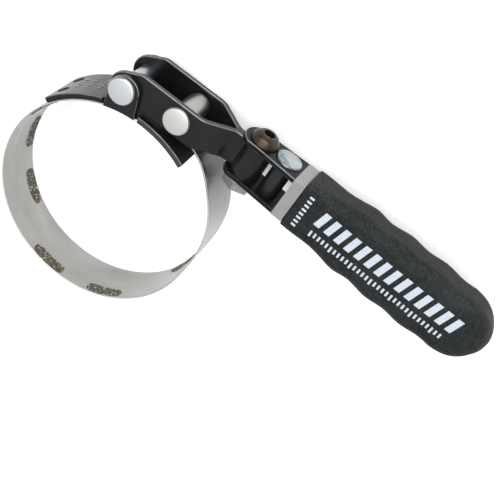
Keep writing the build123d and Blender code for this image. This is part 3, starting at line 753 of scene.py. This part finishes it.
anchor, strip_run = sweep_strip("band_under_saddle", path_rows(STRIP_START, cuts[0]))
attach(anchor, "saddle_body")
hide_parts("band_anchor")

for i, (body, next_body) in enumerate(zip(chain, chain[1:])):
    piece, strip_run = sweep_strip(f"band_run_{i + 1:02d}", path_rows(cuts[i], cuts[i + 1]),
                                   strip_run)
    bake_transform(piece)
    if next_body != "eye":
        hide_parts(f"band_{next_body}")

WRAP_END, WRAP_STEPS = -18.0, 70  # angle where the strip leaves the roller, degrees
LAP_START_X, LAP_END_X = EYE_X + 6.4, EYE_X + 10.8
LAP_FIRST_U, LAP_STEP_U, LAP_SAMPLES = 0.99, 0.0165, 40  # sampling back along the last run
BEND_STEPS, BEND_PULL = 12, 0.95  # reverse bend: steps, tangent length per chord


def end_loop_rows():
    """Up to the roller, clockwise round it, and back along the outside of the strip."""
    rows = path_rows(cuts[-1], LOOP_END + 4.0)
    wrap_start = EYE_HEADING + 90
    for i in range(1, WRAP_STEPS + 1):
        angle = wrap_start + (WRAP_END - wrap_start) * i / WRAP_STEPS
        c, s = polar(1, angle)
        # going clockwise, the row's normal points at the roller's centre
        rows.append((EYE_X + EYE_MID_R * c, EYE_Y + EYE_MID_R * s, -c, -s, EYE_HALF_W))

    lap = []
    for i in range(LAP_SAMPLES):
        x, y, nx, ny = tail_point(3, LAP_FIRST_U - i * LAP_STEP_U)
        lap.append((x + nx * BAND_T, y + ny * BAND_T, nx, ny))
    first = next(i for i, row in enumerate(lap) if row[0] > LAP_START_X)
    last = next(i for i, row in enumerate(lap) if row[0] > LAP_END_X)

    # reverse bend down onto the incoming strip
    leave, land, beyond = rows[-1][:2], lap[first][:2], lap[first + 1][:2]
    pull = math.dist(leave, land) * BEND_PULL
    land_scale = pull / math.dist(land, beyond)
    land_tangent = [(b - a) * land_scale for a, b in zip(land, beyond)]
    leave_tangent = polar(pull, WRAP_END - 90.0)
    for i in range(1, BEND_STEPS + 1):
        point = curve_point(leave, leave_tangent, land, land_tangent, i / BEND_STEPS)
        rows.append((*point, EYE_HALF_W))
    for x, y, nx, ny in lap[first + 1:last]:
        rows.append((x, y, -nx, -ny, EYE_HALF_W))
    return rows


end_loop, _ = sweep_strip("band_end_loop", end_loop_rows(), strip_run)
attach(end_loop, "eye")
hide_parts("band_eye")

# -------------------------------------------------------------- saddle pellets
SADDLE_OUTER_R = 52.82
PELLET_FOOT, PELLET_RISE = -0.12, 0.38  # height of the foot, and of the crown above it
PELLET_RINGS, PELLET_SIDES = 10, 32
# (angle in degrees, z of each pellet)
PELLET_ROWS = [
    (119.5, (-4.4, -1.5, 1.5, 4.4)),
    (125.5, (-5.6, -2.8, 0.0, 2.8, 5.6)),
    (131.5, (-4.4, -1.5, 1.5, 4.4)),
]
# Half sizes (round the loop, along Z), alternating between neighbours
PELLET_HALVES = ((1.45, 0.62), (1.05, 0.75))


def squared(value):
    """Push a sine or cosine outwards, for an oval with squarer corners."""
    return math.copysign(abs(value) ** 0.75, value)


def pellet_verts(angle, z, half_arc, half_z):
    verts = []
    for i in range(PELLET_RINGS):
        climb = i / (PELLET_RINGS - 1) * math.pi / 2
        radius = SADDLE_OUTER_R + PELLET_FOOT + PELLET_RISE * math.sin(climb)
        shrink = math.cos(climb) ** 0.6 if i < PELLET_RINGS - 1 else 0.02
        for j in range(PELLET_SIDES):
            turn = 2 * math.pi * j / PELLET_SIDES
            arc = half_arc * shrink * squared(math.cos(turn))
            x, y = polar(radius, angle + math.degrees(arc / SADDLE_OUTER_R))
            verts.append((x, y, z + half_z * shrink * squared(math.sin(turn))))
    return verts


def saddle_pellets():
    """Rows of small raised pellets on the outer face of the saddle plate."""
    verts, faces = [], []
    for row, (angle, places) in enumerate(PELLET_ROWS):
        for k, z in enumerate(places):
            first = len(verts)
            verts += pellet_verts(angle, z, *PELLET_HALVES[(k + row) % 2])
            faces += side_quads(PELLET_RINGS, PELLET_SIDES, first)
            faces += end_caps(PELLET_RINGS, PELLET_SIDES, first)
    # The pellets take the saddle's rim paint, painted highlight included.
    return make_object("saddle_pellets", verts, faces, RIM_HIGHLIGHT_MATERIALS["saddle"], 60)


pellets = saddle_pellets()
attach(pellets, "saddle_body")

# ------------------------------------------------------------------- grit pads
PAD_HALF_LENGTH, PAD_HALF_W, PAD_MIN_HALF_W = 9.3, 3.3, 0.22
PAD_NU, PAD_NV = 104, 36  # grid steps along and across
PAD_RIM_V, PAD_RIM_U = 0.16, 0.05  # share of the half size where the rim slopes up
PAD_EDGE, PAD_BED, PAD_BACK = -0.10, 0.24, -0.22  # heights: rim, bed above it, buried back
# (spacing, height) of coarse and fine beads, and a bead's radius per spacing
COARSE_BEAD, FINE_BEAD, BEAD_SPREAD = (0.95, 0.42), (0.48, 0.20), 0.62
# (angle in degrees, z, index of the strip run it lies on)
GRIT_PADS = [
    (150.0, 9.25, 0), (186.0, -8.8, 1), (221.8, -8.8, 2),
    (261.3, 9.25, 3), (299.0, 9.25, 4), (344.0, -8.8, 6),
]


def pad_half_width(u, side, seed):
    """Rounded ends and slightly wavy sides."""
    width = PAD_HALF_W * (1 - abs(u) ** 5.0) ** 0.42
    wave = noise.noise(Vector((u * 4.2 + seed * 7.1, side * 3.3, seed * 1.7)))
    return max(width * (1 + 0.10 * wave), PAD_MIN_HALF_W)


def bead_height(point, spacing, height):
    nearest = noise.voronoi(point)[0][0]
    return height * max(0.0, 1 - (nearest / spacing) ** 2)


def grit_height(along, across, seed):
    point = Vector((along, across, seed * 13.7))
    fine_point = point / FINE_BEAD[0] + Vector((5.1, 2.2, 0))
    return (bead_height(point / COARSE_BEAD[0], BEAD_SPREAD, COARSE_BEAD[1])
            + bead_height(fine_point, BEAD_SPREAD, FINE_BEAD[1])
            + 0.06 * noise.noise(point * 6.0))


def grit_pad(seed, angle, z):
    """Beaded patch rising from the strip's inner face towards the Z axis."""
    verts = []
    for i in range(PAD_NU + 1):
        u = -1 + 2 * i / PAD_NU
        along = u * PAD_HALF_LENGTH
        for j in range(PAD_NV + 1):
            v = -1 + 2 * j / PAD_NV
            across = pad_half_width(u, 1 if v > 0 else -1, seed) * v
            rim = min(1.0, (1 - abs(v)) / PAD_RIM_V, (1 - abs(u)) / PAD_RIM_U)
            rim = rim * rim * (3 - 2 * rim)
            top = PAD_EDGE + rim * (PAD_BED + grit_height(along, across, seed))
            for height in (top, PAD_BACK):
                x, y = polar(BAND_R - height, angle + math.degrees(along / BAND_R))
                verts.append((x, y, z + across))
    return make_object(f"grit_pad_{seed}", verts, plate_faces(0, PAD_NU, PAD_NV), GRIT, 60)


GRIT = grit_bead("grit_bead")
for seed, (angle, z, run_index) in enumerate(GRIT_PADS, start=1):
    pad = grit_pad(seed, angle, z)
    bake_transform(pad)

# ------------------------------------------------------------------------ grip
# s runs along the handle from the swivel bolt, y across its broad face, and depth off it.
GRIP_START, GRIP_END = 25.95, 126.15
ROUND_END = 126.2  # where the end curves would close
NOSE_START, NOSE_HALF_W = 107.0, 15.38  # outline rounds off from here
NOSE_THIN_START, NOSE_HALF_T = 112.0, 9.1  # thickness rounds off from here
GRIP_RIM_R = 0.75  # rounding at the grip's start
BODY_END, BODY_STEP, NOSE_STEPS = 108.0, 0.8, 34
# Scalloped outline before NOSE_START: (s, half width)
GRIP_OUTLINE = [
    (25.9, 12.3), (34, 13.0), (41, 13.6), (48, 14.6), (55.5, 15.7), (63.5, 14.8),
    (74, 16.0), (83, 15.2), (92, 16.0), (102.5, 15.0), (109, 15.4),
]
HANDLE_ORIGIN = Vector((BOLT_X, BOLT_Y, 0))
HANDLE_ALONG = Vector((math.cos(TILT), 0, math.sin(TILT)))
HANDLE_ACROSS = Vector((0, 1, 0))
HANDLE_NORMAL = Vector((-math.sin(TILT), 0, math.cos(TILT)))


def handle_point(s, y, depth):
    return tuple(HANDLE_ORIGIN + HANDLE_ALONG * s + HANDLE_ACROSS * y + HANDLE_NORMAL * depth)


def outline_slope(i):
    """Slope at an outline point: harmonic mean of its neighbours, 0 at a peak or dip."""
    chords = [(y1 - y0) / (s1 - s0)
              for (s0, y0), (s1, y1) in zip(GRIP_OUTLINE, GRIP_OUTLINE[1:])]
    if i == 0:
        return chords[0]
    if i == len(chords):
        return chords[-1]
    a, b = chords[i - 1:i + 1]
    return 0.0 if a * b <= 0 else 2 * a * b / (a + b)


def grip_half_width(s):
    if s >= NOSE_START:
        t = (s - NOSE_START) / (ROUND_END - NOSE_START)
        return NOSE_HALF_W * math.sqrt(1 - t ** 2.12)
    k = max(i for i, point in enumerate(GRIP_OUTLINE[:-1]) if point[0] <= s)
    (s0, y0), (s1, y1) = GRIP_OUTLINE[k:k + 2]
    span = s1 - s0
    controls = (y0, span * outline_slope(k), y1, span * outline_slope(k + 1))
    return sum(w * c for w, c in zip(hermite((s - s0) / span), controls))


def grip_half_thick(s):
    """A little fuller at each swell of the outline, thinner near the collar."""
    if s > NOSE_THIN_START:
        t = (s - NOSE_THIN_START) / (ROUND_END - NOSE_THIN_START)
        return NOSE_HALF_T * math.sqrt(1 - t ** 2.3)
    swell = (grip_half_width(s) - 14.8) / 1.2
    half = 9.08 + 0.26 * max(-1.0, min(1.0, swell))
    return half if s > 50 else min(half, 8.85 + 0.25 * (s - 25.9) / 24)


def grip_corner_radius(s):
    """Nearly square at the collar, full along the grip."""
    t = max(0.0, min(1.0, (s - 26.0) / 20.0))
    return 1.6 + 3.8 * t * t * (3 - 2 * t)


def crown_drop(s, y):
    """How far the crowned broad face falls away from its middle."""
    return 0.34 * (y / grip_half_width(s)) ** 2 * min(1.0, grip_half_thick(s) / 9.0)


def grip_stations():
    """(s, inset of the section) along the grip."""
    stations = []
    for i in range(7):
        c, s = polar(GRIP_RIM_R, 15 * i)
        stations.append((GRIP_START + GRIP_RIM_R - c, GRIP_RIM_R - s))
    s = GRIP_START + GRIP_RIM_R
    while s < BODY_END:
        s += BODY_STEP
        stations.append((s, 0.0))
    for i in range(1, NOSE_STEPS + 1):
        share = math.sin(math.pi / 2 * i / NOSE_STEPS)
        stations.append((s + (GRIP_END - s) * share, 0.0))
    return stations


def grip_skin():
    verts = []
    stations = grip_stations()
    for s, inset in stations:
        half_w = grip_half_width(s) - inset
        half_t = grip_half_thick(s) - inset
        radius = min(grip_corner_radius(s), half_w * 0.92, half_t * 0.92)
        ring = rounded_rect(half_w, half_t, radius, arc_steps=12, long_steps=20, short_steps=8)
        for y, depth in ring:
            verts.append(handle_point(s, y, depth - crown_drop(s, y) * depth / half_t))
    faces = side_quads(len(stations), len(ring))
    faces += [cap[::-1] for cap in end_caps(len(stations), len(ring))]
    return make_object("grip_skin", verts, faces, vinyl("grip_vinyl_skin"), 55)


grip = grip_skin()
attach(grip, "root")
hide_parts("grip")

# ----------------------------------------------------- marks on the broad face
MARK_LIFT, MARK_SINK = 0.07, 0.15  # top above the grip's face, back below it
# Slanted bars
BAR_START, BAR_PITCH, BAR_COUNT, BAR_W, BAR_LEAN = 37.6, 5.35, 14, 3.0, 1.7
BAR_Y = -1.2, 7.0
# Scale of ticks, every fifth one longer
TICK_START, TICK_PITCH, TICK_COUNT, TICK_W = 38.6, 2.15, 33, 0.95
TICK_TOP_Y, TICK_SHORT_Y, TICK_LONG_Y = -4.2, -6.7, -7.4
# Row of small blocks across the grip by the collar
BLOCK_S = 29.9, 32.1
BLOCK_START_Y, BLOCK_PITCH, BLOCK_COUNT, BLOCK_W = -8.2, 2.25, 8, 1.05


def add_mark(verts, faces, corners, nu, nv):
    """Thin slab over the quad whose (s, y) corners go round in order."""
    first = len(verts)
    for i in range(nu + 1):
        for j in range(nv + 1):
            u, v = i / nu, j / nv
            s, y = ((a * (1 - u) + b * u) * (1 - v) + (d * (1 - u) + c * u) * v
                    for a, b, c, d in zip(*corners))
            face = grip_half_thick(s) - crown_drop(s, y)
            verts.append(handle_point(s, y, face + MARK_LIFT))
            verts.append(handle_point(s, y, face - MARK_SINK))
    faces += plate_faces(first, nu, nv)


def grip_marks():
    verts, faces = [], []
    low, high = BAR_Y
    for i in range(BAR_COUNT):
        s = BAR_START + BAR_PITCH * i
        corners = [(s, low), (s + BAR_LEAN, high), (s + BAR_LEAN + BAR_W, high),
                   (s + BAR_W, low)]
        add_mark(verts, faces, corners, nu=10, nv=4)
    for i in range(TICK_COUNT):
        s = TICK_START + TICK_PITCH * i
        y = TICK_SHORT_Y if i % 5 else TICK_LONG_Y
        corners = [(s, y), (s, TICK_TOP_Y), (s + TICK_W, TICK_TOP_Y), (s + TICK_W, y)]
        add_mark(verts, faces, corners, nu=5, nv=2)
    near, far = BLOCK_S
    for i in range(BLOCK_COUNT):
        y = BLOCK_START_Y + i * BLOCK_PITCH
        corners = [(near, y), (near, y + BLOCK_W), (far, y + BLOCK_W), (far, y)]
        add_mark(verts, faces, corners, nu=4, nv=4)
    return make_object("grip_marks", verts, faces, print_ink("grip_ink"), 40)


marks = grip_marks()
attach(marks, "root")

# ----------------------------------------------------------------------- stage
FLOOR_GAP = 0.0004
LIGHT_TARGET = Vector((0.03, 0.03, 0.0))
CAMERA_PLACE = Vector((0.075348, 0.274427, 0.350474))
# Directions of the picture's right and (nearly) up
CAMERA_RIGHT = Vector((0.797, 0.4834, -0.3628)).normalized()
CAMERA_UP_HINT = Vector((-0.6042, 0.6524, -0.4577)).normalized()

bpy.ops.mesh.primitive_grid_add(x_subdivisions=24, y_subdivisions=24, size=6.0,
                                location=(0.0, 0.0, cad_box[0].z - FLOOR_GAP))
floor = bpy.context.active_object
floor.name = "floor"
floor.data.materials.append(pale_floor("floor_pale"))

world = bpy.data.worlds.new("studio")
bpy.context.scene.world = world
world.use_nodes = True
background = world.node_tree.nodes["Background"]
background.inputs["Color"].default_value = (1.0, 1.0, 1.0, 1)
background.inputs["Strength"].default_value = 0.80


def area_light(name, place, energy, size_x, size_y):
    data = bpy.data.lights.new(name, "AREA")
    data.energy = energy
    data.shape = "RECTANGLE"
    data.size, data.size_y = size_x, size_y
    light = bpy.data.objects.new(name, data)
    bpy.context.scene.collection.objects.link(light)
    light.location = place
    light.rotation_mode = "QUATERNION"
    light.rotation_quaternion = (Vector(place) - LIGHT_TARGET).to_track_quat("Z", "Y")


area_light("overhead", place=(0.05, 0.30, 1.0), energy=7.5, size_x=0.9, size_y=0.9)
area_light("edge_line", place=(0.03, 0.85, 0.60), energy=6.0, size_x=1.0, size_y=0.16)

camera_data = bpy.data.cameras.new("camera")
camera_data.sensor_width = 36.0
camera_data.lens = 68.804
camera_data.clip_start, camera_data.clip_end = 0.01, 20.0
camera = bpy.data.objects.new("camera", camera_data)
bpy.context.scene.collection.objects.link(camera)
back = CAMERA_RIGHT.cross(CAMERA_UP_HINT).normalized()
rotation = Matrix((CAMERA_RIGHT, back.cross(CAMERA_RIGHT), back)).transposed()
camera.matrix_world = Matrix.Translation(CAMERA_PLACE) @ rotation.to_4x4()
bpy.context.scene.camera = camera

view_settings = bpy.context.scene.view_settings
view_settings.view_transform = "Standard"
view_settings.look = "None"
view_settings.exposure = 0.0
